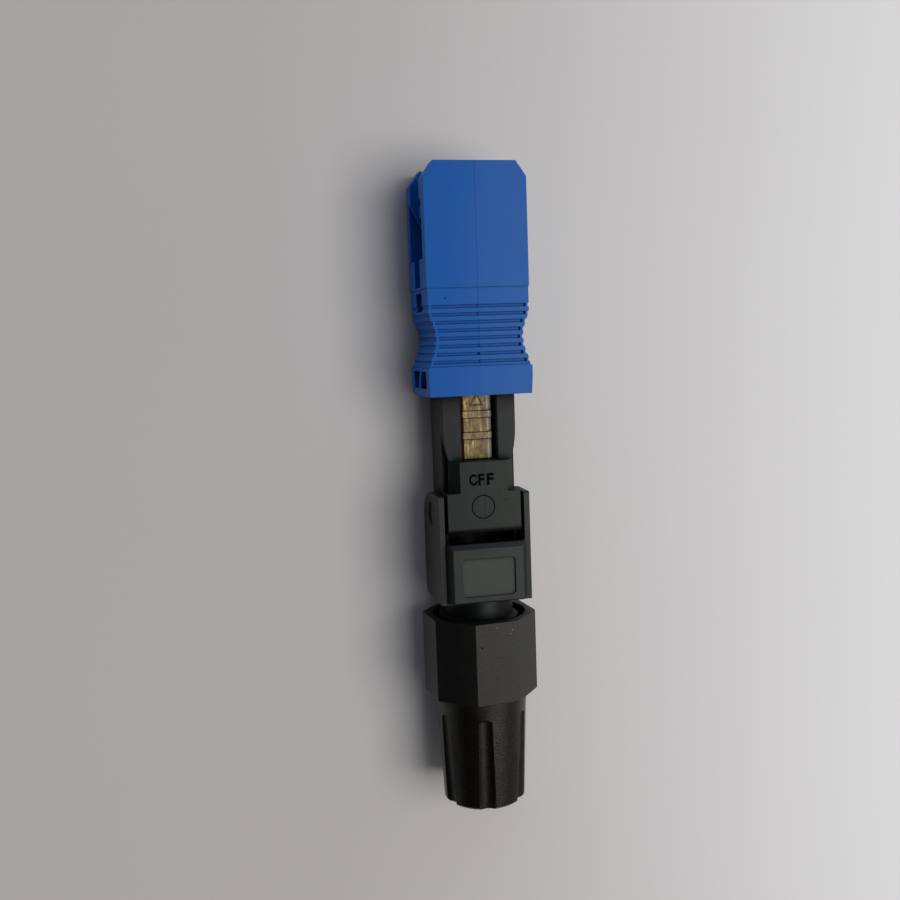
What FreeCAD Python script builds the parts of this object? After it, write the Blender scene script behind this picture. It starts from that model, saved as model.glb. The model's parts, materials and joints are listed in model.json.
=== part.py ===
# A field-assembly SC fibre connector, lying broad side up.
# Units are millimetres. +Y runs along the axis to the mating end, +Z is up, +X is to the right.
# The origin is the centre of the ferrule's tip, the plane where two connectors meet.
import FreeCAD
import Part
import math
import os
from FreeCAD import Vector

# Coupling sleeve, the blue outer housing
SLEEVE_HALF_WIDTH = 4.495
SLEEVE_HALF_HEIGHT = 3.695
SLEEVE_STEP_Y = -10.5
SLEEVE_STEP = 0.06
SLEEVE_BAND_Y = -17.2
SLEEVE_REAR_Y = -19.7
SLEEVE_BAND_HALF_HEIGHT = 3.755
SLEEVE_CORNER = (0.91, 1.32)
SLEEVE_OPEN_SIDE_END_Y = -7.95
SLEEVE_SIDE_SLOTS = ((-7.85, -10.3), (-10.8, -12.4))
CAVITY_HALF_HEIGHT = 2.75
RIB_GROOVE_COUNT = 8
RIB_GROOVE_FIRST_Y = -12.1
RIB_GROOVE_PITCH = 0.671
RIB_GROOVE_WIDTH = 0.3
RIB_GROOVE_DEPTH = 0.25
RIB_GROOVE_MARGIN = 0.3
RIPPLE_DEPTH = 0.1
WAIST_MID_Y = -14.8
WAIST_REACH = 2.05
WAIST_DEPTH = 0.57

# Plug frame, inside the coupling sleeve
FRAME_FRONT_Y = -0.9
FRAME_REAR_Y = -15.0
FRAME_HALF_WIDTH = 3.15
FRAME_HALF_HEIGHT = 2.6
FRAME_WALL = 0.6
FRAME_STOP_Y = -7.4
LUG_OUT = 3.9

# Ferrule unit: ferrule, holder, spring and splice barrel
FERRULE_RADIUS = 1.2495
FERRULE_LENGTH = 10.5
FERRULE_BORE_RADIUS = 0.08
FERRULE_NECK_Y = (-6.5, -7.1)
FERRULE_NECK_RADIUS = 1.06
FLANGE_RADIUS = 1.95
STEM_RADIUS = 1.4
FIBRE_RADIUS = 0.0625
SPRING_WIRE = 0.26
SPRING_RADIUS = 1.7
SPRING_TURNS = 5.5
SPRING_FRONT_Y = -8.65
SPRING_REAR_Y = -12.45
BARREL_FRONT_Y = -15.9
BARREL_REAR_Y = -25.36
BARREL_HALF_WIDTH = 1.42
BARREL_HALF_HEIGHT = 1.65
BARREL_BEVELS = (0.22, 0.5)
CLIP_WIDTH = 0.56
CLIP_MIDDLES_Y = (-21.45, -23.33)
CLIP_OUT = 0.07
CLIP_IN = 0.18

# Main body
BODY_HALF_WIDTH = 3.25
BODY_HALF_HEIGHT = 2.45
NECK_HALF_WIDTH = 2.95
NECK_REAR_Y = -19.0
WINDOW_HALF_WIDTH = 1.65
WINDOW_FRONT_Y = -17.6
BLOCK_FRONT_Y = -25.43
BLOCK_TOP_HALF_WIDTH = 2.1
BLOCK_FOOT_HALF_WIDTH = 2.9
PAD_FRONT_Y = -28.15
PAD_REAR_Y = -31.75
PAD_HALF_WIDTH = 3.28
PIT_REAR_Y = -32.9
BLOCK_TOP = 3.42
BODY_REAR_Y = -38.05
STUB_RADIUS = 3.1
THREAD_RADIUS = 3.4
JAW_COUNT = 4
CABLE_BORE_RADIUS = 1.75

# Lock slider
SLIDER_FRONT_Y = -28.3
SLIDER_BRIDGE_Y = -32.55
SLIDER_REAR_Y = -37.7
SLIDER_HALF_WIDTH = 4.1
SLIDER_INNER_HALF_WIDTH = 3.58
SLIDER_BOTTOM = -3.45
SLIDER_ARM_TOP = 3.35
SLIDER_BRIDGE_TOP = 4.25
SLIDER_BRIDGE_HALF_WIDTH = 3.12
SLIDER_SOLE_BEVEL = 0.38

# Cap nut
NUT_FRONT_Y = -39.48
NUT_COLLAR_REAR_Y = -46.71
NUT_REAR_Y = -56.8
NUT_CORNER_RADIUS = 5.13
NUT_TURN = -17.2
TAIL_FRONT_RADIUS = 4.12
TAIL_REAR_RADIUS = 3.7
FLUTE_COUNT = 6
FLUTE_TURN = -9.5
FLUTE_RADIUS = 0.95
FLUTE_FRONT = (4.74, -48.67)
FLUTE_REAR = (4.2, -56.8)
CABLE_ENTRY_RADIUS = 2.1
NUT_MOUTH_RADIUS = 4.2


def block(x, y, z):
    """Box from three (low, high) pairs."""
    size = [max(pair) - min(pair) for pair in (x, y, z)]
    return Part.makeBox(size[0], size[1], size[2], Vector(min(x), min(y), min(z)))


def both_sides(shape):
    """A shape and its mirror image across the X = 0 plane."""
    return shape.fuse(shape.mirror(Vector(0, 0, 0), Vector(1, 0, 0)))


def face_from(corners):
    return Part.Face(Part.makePolygon(corners + [corners[0]]))


def plan_prism(outline, z):
    """Prism with its outline in X and Y."""
    face = face_from([Vector(x, y, z[0]) for x, y in outline])
    return face.extrude(Vector(0, 0, z[1] - z[0]))


def side_prism(outline, x):
    """Prism with its outline in Y and Z."""
    face = face_from([Vector(x[0], y, z) for y, z in outline])
    return face.extrude(Vector(x[1] - x[0], 0, 0))


def long_prism(outline, y):
    """Prism with its section in X and Z, running along the axis."""
    face = face_from([Vector(x, y[0], z) for x, z in outline])
    return face.extrude(Vector(0, y[1] - y[0], 0))


def mirrored(half):
    """Close an outline whose right half is given from front to rear."""
    return half + [(-x, y) for x, y in reversed(half)]


def turned(profile):
    """Solid of revolution about the Y axis from (radius, y) points."""
    face = face_from([Vector(radius, y, 0) for radius, y in profile])
    return face.revolve(Vector(0, 0, 0), Vector(0, 1, 0), 360)


def rod(radius, front, rear):
    return Part.makeCylinder(radius, front - rear, Vector(0, rear, 0), Vector(0, 1, 0))


def rounded(shape, radius, wanted):
    """Fillet the edges that a test on the edge picks out."""
    return shape.makeFillet(radius, [edge for edge in shape.Edges if wanted(edge)])


def runs_along(edge, direction):
    tangent = edge.tangentAt(edge.FirstParameter)
    return isinstance(edge.Curve, Part.Line) and abs(tangent.dot(direction)) > 0.999


def barrel_section(grow, bevel_cut=0):
    """Eight-sided section of the splice barrel, made larger all round by a distance."""
    half_width = BARREL_HALF_WIDTH + grow
    half_height = BARREL_HALF_HEIGHT + grow
    left, right = [bevel - bevel_cut for bevel in BARREL_BEVELS]
    upper = [(-half_width, half_height - left), (left - half_width, half_height)]
    upper += [(half_width - right, half_height), (half_width, half_height - right)]
    return upper + [(x, -z) for x, z in reversed(upper)]


def waist_half_width(y):
    """Half width of the sleeve's grip, pinched in between the fingers."""
    distance = abs(y - WAIST_MID_Y) / WAIST_REACH
    base = SLEEVE_HALF_WIDTH - SLEEVE_STEP
    if distance >= 1:
        return base
    return base - WAIST_DEPTH * math.cos(math.pi / 2 * distance)


def groove_spans():
    for number in range(RIB_GROOVE_COUNT):
        middle = RIB_GROOVE_FIRST_Y - number * RIB_GROOVE_PITCH
        yield middle + RIB_GROOVE_WIDTH / 2, middle - RIB_GROOVE_WIDTH / 2


def sleeve_plan():
    """Outline of the coupling sleeve seen from above."""
    corner_x, corner_y = SLEEVE_CORNER
    grip = SLEEVE_HALF_WIDTH - SLEEVE_STEP
    half = [(SLEEVE_HALF_WIDTH - corner_x, 0), (SLEEVE_HALF_WIDTH, -corner_y)]
    half += [(SLEEVE_HALF_WIDTH, SLEEVE_STEP_Y), (grip, SLEEVE_STEP_Y)]
    for front, rear in groove_spans():
        half += [(waist_half_width(front), front), (waist_half_width(front) - RIPPLE_DEPTH, front)]
        half += [(waist_half_width(rear) - RIPPLE_DEPTH, rear), (waist_half_width(rear), rear)]
    half += [(grip, SLEEVE_BAND_Y), (SLEEVE_HALF_WIDTH + 0.1, SLEEVE_BAND_Y - 0.1)]
    half += [(SLEEVE_HALF_WIDTH + 0.1, SLEEVE_BAND_Y - 0.9), (SLEEVE_HALF_WIDTH, SLEEVE_REAR_Y)]
    return mirrored(half)


def sleeve_side():
    """Outline of the coupling sleeve seen from the side, as (y, z) points."""
    grip = SLEEVE_HALF_HEIGHT - SLEEVE_STEP
    half = [(SLEEVE_HALF_HEIGHT, 0), (SLEEVE_HALF_HEIGHT, SLEEVE_STEP_Y), (grip, SLEEVE_STEP_Y)]
    half += [(grip, SLEEVE_BAND_Y), (SLEEVE_BAND_HALF_HEIGHT, SLEEVE_BAND_Y)]
    half += [(SLEEVE_BAND_HALF_HEIGHT, SLEEVE_REAR_Y)]
    return [(y, z) for z, y in mirrored(half)]


def grip_grooves():
    """Grooves across the grip, above and below, stopping short of its edges."""
    floor = SLEEVE_HALF_HEIGHT - SLEEVE_STEP - RIB_GROOVE_DEPTH
    for front, rear in groove_spans():
        reach = waist_half_width((front + rear) / 2) - RIB_GROOVE_MARGIN
        yield block((-reach, reach), (front, rear), (floor, floor + 1))
        yield block((-reach, reach), (front, rear), (-floor - 1, -floor))


def sleeve_side_opening():
    """Open side that the adapter's hooks enter, with the cams that release them."""
    outside = SLEEVE_HALF_WIDTH + 1
    inside = FRAME_HALF_WIDTH + 0.2
    cam_outline = [(inside, 1), (outside, 1), (outside, -0.8), (inside, -5.3)]
    rear_outline = [(inside, -5.3), (outside, -0.8), (outside, SLEEVE_OPEN_SIDE_END_Y)]
    rear_outline += [(inside, SLEEVE_OPEN_SIDE_END_Y)]
    cams = plan_prism(cam_outline, (-1.95, 1.95))
    behind_cams = plan_prism(rear_outline, (-2.6, 2.6))
    return cams.fuse(behind_cams)


def sleeve_band_recess():
    """Moulded pocket in the side of the rear band, with a slanted rib left in it."""
    pocket = block((SLEEVE_HALF_WIDTH - 0.45, SLEEVE_HALF_WIDTH + 1), (-17.55, -19.05), (-2.7, 2.7))
    rib = side_prism([(-17.5, 0.1), (-17.5, 0.75), (-19.1, -0.25), (-19.1, -0.9)],
                     (SLEEVE_HALF_WIDTH - 0.5, SLEEVE_HALF_WIDTH + 1.1))
    return pocket.cut(rib)


def outer_housing():
    solid = plan_prism(sleeve_plan(), (-4, 4)).common(side_prism(sleeve_side(), (-5, 5)))
    solid = solid.cut(block((-3.35, 3.35), (1, -13.0), (-CAVITY_HALF_HEIGHT, CAVITY_HALF_HEIGHT)))
    solid = solid.cut(block((-3.25, 3.25), (-12.9, -20), (-CAVITY_HALF_HEIGHT, CAVITY_HALF_HEIGHT)))
    solid = solid.cut(block((-3.55, 3.55), (SLEEVE_BAND_Y, -20), (-2.8, 2.8)))
    solid = solid.cut(both_sides(sleeve_side_opening()))
    solid = solid.cut(list(grip_grooves()))
    for span in SLEEVE_SIDE_SLOTS:
        solid = solid.cut(both_sides(block((3, 5), span, (-1.15, 1.15))))
    solid = solid.cut(both_sides(sleeve_band_recess()))
    key = side_prism([(-0.9, -3.6), (-1.2, -4.42), (-9.6, -4.42), (-9.6, -3.6)], (-0.95, 0.95))
    return solid.fuse(key).removeSplitter()


def plug_frame():
    """Inner frame: socket for the adapter's sleeve, stop wall and hook lugs."""
    inner_width = FRAME_HALF_WIDTH - FRAME_WALL
    inner_height = FRAME_HALF_HEIGHT - FRAME_WALL + 0.1
    section = [(-FRAME_HALF_WIDTH, -FRAME_HALF_HEIGHT), (FRAME_HALF_WIDTH, -FRAME_HALF_HEIGHT)]
    section += [(FRAME_HALF_WIDTH, FRAME_HALF_HEIGHT - 0.6), (FRAME_HALF_WIDTH - 0.6, FRAME_HALF_HEIGHT)]
    section += [(0.6 - FRAME_HALF_WIDTH, FRAME_HALF_HEIGHT), (-FRAME_HALF_WIDTH, FRAME_HALF_HEIGHT - 0.6)]
    solid = long_prism(section, (FRAME_FRONT_Y, FRAME_REAR_Y))
    socket = block((-inner_width, inner_width), (0, FRAME_STOP_Y + 0.8), (-inner_height, inner_height))
    rear_room = block((-inner_width, inner_width), (FRAME_STOP_Y, -16), (-inner_height, inner_height))
    solid = solid.cut(socket).cut(rear_room).cut(rod(FERRULE_RADIUS + 0.25, 0, -9))
    lug_plan = [(FRAME_HALF_WIDTH - 0.1, -1.5), (FRAME_HALF_WIDTH, -1.5), (LUG_OUT, -3.3)]
    lug_plan += [(LUG_OUT, -4.2), (FRAME_HALF_WIDTH - 0.1, -4.2)]
    solid = solid.fuse(both_sides(plan_prism(lug_plan, (-1.3, 1.3))))
    snap_window = block((2, 4), (-13.1, -14.5), (-1.0, 1.0))
    return solid.cut(both_sides(snap_window)).removeSplitter()


def ferrule():
    tip = 0.45
    profile = [(FERRULE_BORE_RADIUS, 0), (0.75, 0), (1.05, -0.12), (FERRULE_RADIUS, -tip)]
    profile += [(FERRULE_RADIUS, FERRULE_NECK_Y[0]), (FERRULE_NECK_RADIUS, FERRULE_NECK_Y[0])]
    profile += [(FERRULE_NECK_RADIUS, FERRULE_NECK_Y[1]), (FERRULE_RADIUS, FERRULE_NECK_Y[1])]
    profile += [(FERRULE_RADIUS, -FERRULE_LENGTH), (FERRULE_BORE_RADIUS, -FERRULE_LENGTH)]
    return turned(profile)


def ferrule_holder():
    """Flange that the frame stops and the spring pushes, with the stem behind it."""
    flange_front = FRAME_STOP_Y - 0.05
    profile = [(FERRULE_RADIUS, flange_front), (FLANGE_RADIUS - 0.15, flange_front)]
    profile += [(FLANGE_RADIUS, flange_front - 0.15), (FLANGE_RADIUS, -8.6), (STEM_RADIUS, -8.6)]
    profile += [(STEM_RADIUS, BARREL_FRONT_Y), (0.15, BARREL_FRONT_Y), (0.15, -FERRULE_LENGTH)]
    profile += [(FERRULE_RADIUS, -FERRULE_LENGTH)]
    solid = turned(profile)
    for turn in (0, 90, 180, 270):
        notch = block((FLANGE_RADIUS - 0.4, FLANGE_RADIUS + 1), (-7, -8.7), (-0.3, 0.3))
        notch.rotate(Vector(0, 0, 0), Vector(0, 1, 0), turn + 45)
        solid = solid.cut(notch)
    return solid


def ferrule_spring():
    """Coil of wire, lofted through the wire's section every few degrees."""
    pitch = (SPRING_FRONT_Y - SPRING_REAR_Y - SPRING_WIRE) / SPRING_TURNS
    steps = 12
    sections = []
    for step in range(int(SPRING_TURNS * steps) + 1):
        angle = math.tau * step / steps
        outward = Vector(math.cos(angle), 0, math.sin(angle))
        along = SPRING_REAR_Y + SPRING_WIRE / 2 + pitch * step / steps
        middle = outward * SPRING_RADIUS + Vector(0, along, 0)
        corners = []
        for side in range(6):
            across = outward * math.cos(math.pi / 3 * side) + Vector(0, 1, 0) * math.sin(math.pi / 3 * side)
            corners.append(middle + across * (SPRING_WIRE / 2))
        sections.append(Part.makePolygon(corners + [corners[0]]))
    return Part.makeLoft(sections, True, True)


def clip_groove(width, middle):
    """Ring-shaped space round the barrel, as deep as a clip sits."""
    span = (middle - width / 2, middle + width / 2)
    return long_prism(barrel_section(1), span).cut(long_prism(barrel_section(-CLIP_IN, 0.1), span))


def barrel():
    """Whole splice barrel before it is parted into base and cover."""
    solid = long_prism(barrel_section(0), (BARREL_REAR_Y, BARREL_FRONT_Y))
    for middle in CLIP_MIDDLES_Y:
        solid = solid.cut(clip_groove(CLIP_WIDTH + 0.12, middle))
    funnel = Part.makeCone(0.75, 0.1, 1.3, Vector(0, BARREL_REAR_Y, 0), Vector(0, 1, 0))
    return solid.cut(funnel)


def splice_base():
    solid = barrel().common(block((-2, 2), (-30, -10), (-3, FIBRE_RADIUS)))
    groove_depth = FIBRE_RADIUS * 2.6
    groove = long_prism([(-groove_depth, FIBRE_RADIUS), (groove_depth, FIBRE_RADIUS),
                         (0, FIBRE_RADIUS - groove_depth)], (-30, -10))
    return solid.cut(groove)


def splice_cover():
    solid = barrel().common(block((-2, 2), (-30, -10), (FIBRE_RADIUS, 3)))
    base_y = -20.67
    outline = [(-0.62, base_y), (0.62, base_y), (0, base_y + 1.08)]
    centre = Vector(0, base_y + 0.36, 0)
    inner = [(x * 0.74, centre.y + (y - centre.y) * 0.74) for x, y in outline]
    depth = (BARREL_HALF_HEIGHT - 0.07, 3)
    return solid.cut(plan_prism(outline, depth).cut(plan_prism(inner, depth)))


def barrel_clip(middle):
    span = (middle - CLIP_WIDTH / 2, middle + CLIP_WIDTH / 2)
    ring = long_prism(barrel_section(CLIP_OUT), span).cut(long_prism(barrel_section(-CLIP_IN, 0.1), span))
    return ring.cut(block((-0.5, 0.5), span, (-3, 0)))


def body_deck():
    """Upper deck, whose rear corners sweep in towards the marked block."""
    sweep = Part.makeCylinder(9.6, 3, Vector(BODY_HALF_WIDTH - 9.6, -22.55, 0))
    long_side = block((0, BODY_HALF_WIDTH), (NECK_REAR_Y, -22.55), (1.5, BODY_HALF_HEIGHT))
    rear = block((0, BODY_HALF_WIDTH), (-22.55, BLOCK_FRONT_Y - 0.1), (1.5, BODY_HALF_HEIGHT)).common(sweep)
    return both_sides(long_side.fuse(rear))


def body_block_and_pad():
    """Marked block with sloped sides, and the wider pad behind it."""
    half = [(BLOCK_FOOT_HALF_WIDTH, 2.4), (BLOCK_TOP_HALF_WIDTH, BLOCK_TOP)]
    marked = long_prism(mirrored(half), (BLOCK_FRONT_Y, PAD_FRONT_Y))
    pad = block((-PAD_HALF_WIDTH, PAD_HALF_WIDTH), (PAD_FRONT_Y, PAD_REAR_Y), (1.5, BLOCK_TOP))
    pad = rounded(pad, 0.5, lambda edge: edge.BoundBox.YMax < PAD_REAR_Y + 0.1 and edge.BoundBox.ZMin > 3)
    return marked.fuse(pad)


def body_stub():
    """Round stub behind the slider, its thread and the tapered jaws."""
    profile = [(0, BODY_REAR_Y + 0.3), (STUB_RADIUS, BODY_REAR_Y + 0.3), (STUB_RADIUS, -40.4)]
    profile += [(THREAD_RADIUS, -40.7), (THREAD_RADIUS, -44.4)]
    profile += [(3.0, -44.7), (3.0, -45.2), (2.35, -48.2), (0, -48.2)]
    solid = turned(profile)
    for number in range(JAW_COUNT // 2):
        slot = block((-0.25, 0.25), (-43.4, -49), (-5, 5))
        slot.rotate(Vector(0, 0, 0), Vector(0, 1, 0), 45 + 90 * number)
        solid = solid.cut(slot)
    return solid


def body_bores():
    """Everything hollowed out along the axis, from the nose to the jaws."""
    teeth = [(0, -49), (CABLE_BORE_RADIUS + 0.15, -49)]
    for number in range(3):
        tooth_y = -48.0 + 1.1 * number
        teeth += [(CABLE_BORE_RADIUS + 0.15, tooth_y), (CABLE_BORE_RADIUS - 0.1, tooth_y + 0.15)]
        teeth += [(CABLE_BORE_RADIUS + 0.15, tooth_y + 0.45)]
    teeth += [(CABLE_BORE_RADIUS, -44.3), (CABLE_BORE_RADIUS, -31.5), (0.3, -28.4), (0.3, -26), (0, -26)]
    channel = block((-1.55, 1.55), (-15.5, -26.65), (-1.75, 1.75))
    return rod(STEM_RADIUS + 0.08, -12, -16).fuse(channel).fuse(turned(teeth))


def main_body():
    nose = block((-2.5, 2.5), (-12.5, -15.2), (-2.05, 2.05))
    snap_tab = plan_prism([(2.4, -13.2), (2.55, -13.2), (3.0, -14.3), (2.4, -14.3)], (-0.9, 0.9))
    neck_width = (-NECK_HALF_WIDTH, NECK_HALF_WIDTH)
    body_width = (-BODY_HALF_WIDTH, BODY_HALF_WIDTH)
    neck = block(neck_width, (-15.05, NECK_REAR_Y), (-BODY_HALF_HEIGHT, BODY_HALF_HEIGHT))
    lower = block(body_width, (NECK_REAR_Y, BODY_REAR_Y + 0.3), (-BODY_HALF_HEIGHT, 1.6))
    rear = block(body_width, (PAD_REAR_Y, BODY_REAR_Y + 0.3), (1.5, 2.0))
    stop = block((-3.5, 3.5), (-37.75, BODY_REAR_Y), (-2.6, 2.9))
    solid = nose.fuse([both_sides(snap_tab), neck, lower, rear, stop])
    solid = solid.fuse([body_deck(), body_block_and_pad(), body_stub()])
    window = block((-WINDOW_HALF_WIDTH, WINDOW_HALF_WIDTH), (WINDOW_FRONT_Y, BLOCK_FRONT_Y), (0, 4))
    pit = block((-3.0, 3.0), (PAD_REAR_Y, PIT_REAR_Y), (-1.6, 4))
    return solid.cut([body_bores(), window, pit]).removeSplitter()


def slider_side():
    """Arms and ring seen from the side, with the rounded lower corners."""
    front_radius = 3.6
    rear_radius = 1.5
    corner = Vector(0, SLIDER_FRONT_Y - front_radius, SLIDER_BOTTOM + front_radius)
    heel = Vector(0, SLIDER_REAR_Y - 0.25 + rear_radius, SLIDER_BOTTOM + rear_radius)
    chest = Vector(0, SLIDER_FRONT_Y, corner.z)
    nose_top = Vector(0, SLIDER_FRONT_Y, SLIDER_ARM_TOP - 0.15)
    nose = Vector(0, SLIDER_FRONT_Y - 0.15, SLIDER_ARM_TOP)
    tail_top = Vector(0, SLIDER_REAR_Y - 0.2, SLIDER_ARM_TOP)
    tail = Vector(0, SLIDER_REAR_Y - 0.25, heel.z)
    sole_rear = Vector(0, heel.y, SLIDER_BOTTOM)
    sole_front = Vector(0, corner.y, SLIDER_BOTTOM)
    heel_middle = heel + Vector(0, -1, -1).normalize() * rear_radius
    front_middle = corner + Vector(0, 1, -1).normalize() * front_radius
    edges = [Part.makeLine(chest, nose_top), Part.makeLine(nose_top, nose), Part.makeLine(nose, tail_top)]
    edges += [Part.makeLine(tail_top, tail), Part.Arc(tail, heel_middle, sole_rear).toShape()]
    edges += [Part.makeLine(sole_rear, sole_front), Part.Arc(sole_front, front_middle, chest).toShape()]
    return Part.Face(Part.Wire(edges))


def lock_slider():
    inner = SLIDER_INNER_HALF_WIDTH
    blank = slider_side()
    blank.translate(Vector(-SLIDER_HALF_WIDTH, 0, 0))
    blank = blank.extrude(Vector(2 * SLIDER_HALF_WIDTH, 0, 0))
    section = [(SLIDER_HALF_WIDTH - SLIDER_SOLE_BEVEL, SLIDER_BOTTOM)]
    section += [(SLIDER_HALF_WIDTH, SLIDER_BOTTOM + SLIDER_SOLE_BEVEL), (SLIDER_HALF_WIDTH, SLIDER_ARM_TOP)]
    blank = blank.common(long_prism(mirrored(section), (-40, -25)))
    top = SLIDER_BRIDGE_TOP
    bridge = side_prism([(SLIDER_BRIDGE_Y, 3.2), (SLIDER_BRIDGE_Y, top - 0.3), (SLIDER_BRIDGE_Y - 0.4, top),
                         (SLIDER_REAR_Y + 0.1, top), (SLIDER_REAR_Y, top - 0.1), (SLIDER_REAR_Y, 3.2)],
                        (-4, 4))
    slopes = [(3.68, 3.2), (SLIDER_BRIDGE_HALF_WIDTH, top)]
    bridge = bridge.common(long_prism(mirrored(slopes), (-40, -30)))
    solid = blank.fuse(bridge)
    hollow = [(-inner, -2.75), (inner, -2.75), (inner, 3.08), (3.2, 3.62), (-3.2, 3.62), (-inner, 3.08)]
    solid = solid.cut(long_prism(hollow, (-40, -30)))
    solid = solid.cut(block((-inner, inner), (SLIDER_BRIDGE_Y, -20), (-6, 6)))
    recess = block((-2.4, 2.4), (-33.8, -37.15), (top - 0.15, 6))
    recess = rounded(recess, 0.35, lambda edge: runs_along(edge, Vector(0, 0, 1)))
    solid = solid.cut(recess)
    mark = Part.makeCylinder(1.05, 1, Vector(SLIDER_HALF_WIDTH - 0.12, -30.2, 0.2), Vector(1, 0, 0))
    return solid.cut(both_sides(mark)).removeSplitter()


def octagon(radius):
    points = []
    for number in range(8):
        angle = math.radians(NUT_TURN + 45 * number)
        points.append((radius * math.sin(angle), radius * math.cos(angle)))
    return points


def flute(number):
    """One round-bottomed groove along the tail, deeper to the rear, with a tapered front."""
    front = Vector(0, FLUTE_FRONT[1], FLUTE_FRONT[0])
    along = Vector(0, FLUTE_REAR[1], FLUTE_REAR[0]) - front
    groove = Part.makeCylinder(FLUTE_RADIUS, along.Length + 0.5, front, along)
    groove = groove.fuse(Part.makeCone(FLUTE_RADIUS, 0.3, 0.75, front, along * -1))
    groove.rotate(Vector(0, 0, 0), Vector(0, 1, 0), FLUTE_TURN + 360 / FLUTE_COUNT * number)
    return groove


def cap_nut():
    collar = long_prism(octagon(NUT_CORNER_RADIUS), (NUT_COLLAR_REAR_Y, NUT_FRONT_Y))
    edge = 0.2
    tail = turned([(0, -46), (TAIL_FRONT_RADIUS, -46), (TAIL_FRONT_RADIUS, NUT_COLLAR_REAR_Y),
                   (TAIL_REAR_RADIUS, NUT_REAR_Y + edge), (TAIL_REAR_RADIUS - edge, NUT_REAR_Y),
                   (0, NUT_REAR_Y)])
    bore = THREAD_RADIUS + 0.05
    inside = [(0, -39), (NUT_MOUTH_RADIUS, -39), (NUT_MOUTH_RADIUS, -41.4), (bore, -41.4), (bore, -46.2)]
    inside += [(CABLE_ENTRY_RADIUS, -50), (CABLE_ENTRY_RADIUS, NUT_REAR_Y + 0.35)]
    inside += [(CABLE_ENTRY_RADIUS + 0.4, NUT_REAR_Y - 0.05), (0, NUT_REAR_Y - 0.05)]
    flutes = [flute(number) for number in range(FLUTE_COUNT)]
    return collar.fuse(tail).cut([turned(inside)] + flutes).removeSplitter()


def fibre_stub():
    return rod(FIBRE_RADIUS, 0, -20.3)


def main():
    os.makedirs("parts", exist_ok=True)
    pieces = {
        "outer_housing": outer_housing(),
        "plug_frame": plug_frame(),
        "ferrule": ferrule(),
        "ferrule_holder": ferrule_holder(),
        "ferrule_spring": ferrule_spring(),
        "splice_base": splice_base(),
        "splice_cover": splice_cover(),
        "front_clip": barrel_clip(CLIP_MIDDLES_Y[0]),
        "rear_clip": barrel_clip(CLIP_MIDDLES_Y[1]),
        "fibre_stub": fibre_stub(),
        "main_body": main_body(),
        "lock_slider": lock_slider(),
        "cap_nut": cap_nut(),
    }
    for name, shape in pieces.items():
        shape.exportStep(os.path.join("parts", name + ".step"))
        print(name, "solids", len(shape.Solids), "volume", round(shape.Volume, 2), "valid", shape.isValid())


main()
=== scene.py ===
# Finishes, fine detail and studio for a field-assembly SC fibre connector.
# Blender works in metres. Values that end in Mm are millimetres.
import bpy
import bmesh
import json
import math
from mathutils import Matrix, Vector


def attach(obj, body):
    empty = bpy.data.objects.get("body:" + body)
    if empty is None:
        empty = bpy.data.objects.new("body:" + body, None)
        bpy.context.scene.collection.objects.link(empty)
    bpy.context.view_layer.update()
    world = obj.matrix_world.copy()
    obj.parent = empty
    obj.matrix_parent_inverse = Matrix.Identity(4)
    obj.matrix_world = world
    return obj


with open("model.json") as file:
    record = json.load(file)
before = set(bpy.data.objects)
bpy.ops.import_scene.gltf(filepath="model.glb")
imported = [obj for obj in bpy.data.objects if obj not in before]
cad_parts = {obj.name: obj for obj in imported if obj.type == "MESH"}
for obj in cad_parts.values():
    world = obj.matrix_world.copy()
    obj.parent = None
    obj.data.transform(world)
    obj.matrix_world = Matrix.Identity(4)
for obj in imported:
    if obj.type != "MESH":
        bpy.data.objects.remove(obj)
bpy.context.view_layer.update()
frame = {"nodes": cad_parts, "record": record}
mm = 0.001
print("frame loaded:", len(frame["nodes"]), "nodes")

cameraLook = {
    "lens": 40.92,
    "sensor": 36,
    "placeMm": (-21.900, -15.125, 88.581),
    "turnDeg": (-5.5295, -12.7849, -2.0872),
    "nearMm": 2,
    "farMm": 6000,
}


def makeCamera(look):
    data = bpy.data.cameras.new("studioCamera")
    data.lens = look["lens"]
    data.sensor_width = look["sensor"]
    data.clip_start = look["nearMm"] * mm
    data.clip_end = look["farMm"] * mm
    camera = bpy.data.objects.new("studioCamera", data)
    camera.location = Vector(look["placeMm"]) * mm
    camera.rotation_euler = [math.radians(angle) for angle in look["turnDeg"]]
    bpy.context.collection.objects.link(camera)
    bpy.context.scene.camera = camera


makeCamera(cameraLook)
print("camera set")


def toLinear(level):
    level = level / 255
    if level <= 0.04045:
        return level / 12.92
    return ((level + 0.055) / 1.055) ** 2.4


def paint(red, green, blue):
    return (toLinear(red), toLinear(green), toLinear(blue), 1)


def addNode(tree, kind, **settings):
    node = tree.nodes.new(kind)
    for name, value in settings.items():
        setattr(node, name, value)
    return node


def feed(tree, source, target):
    if isinstance(source, (int, float, tuple)):
        target.default_value = source
    else:
        tree.links.new(source, target)


def maths(tree, operation, first, second=0.0):
    node = addNode(tree, "ShaderNodeMath", operation=operation)
    feed(tree, first, node.inputs[0])
    feed(tree, second, node.inputs[1])
    return node.outputs[0]


def allBut(tree, value, share):
    # 1 less a share of the value
    return maths(tree, "SUBTRACT", 1.0, maths(tree, "MULTIPLY", value, share))


def stretch(tree, value, fromLow, fromHigh, toLow=0.0, toHigh=1.0):
    node = addNode(tree, "ShaderNodeMapRange", clamp=True, interpolation_type="SMOOTHSTEP")
    for name, item in (("Value", value), ("From Min", fromLow), ("From Max", fromHigh),
                       ("To Min", toLow), ("To Max", toHigh)):
        feed(tree, item, node.inputs[name])
    return node.outputs["Result"]


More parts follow.
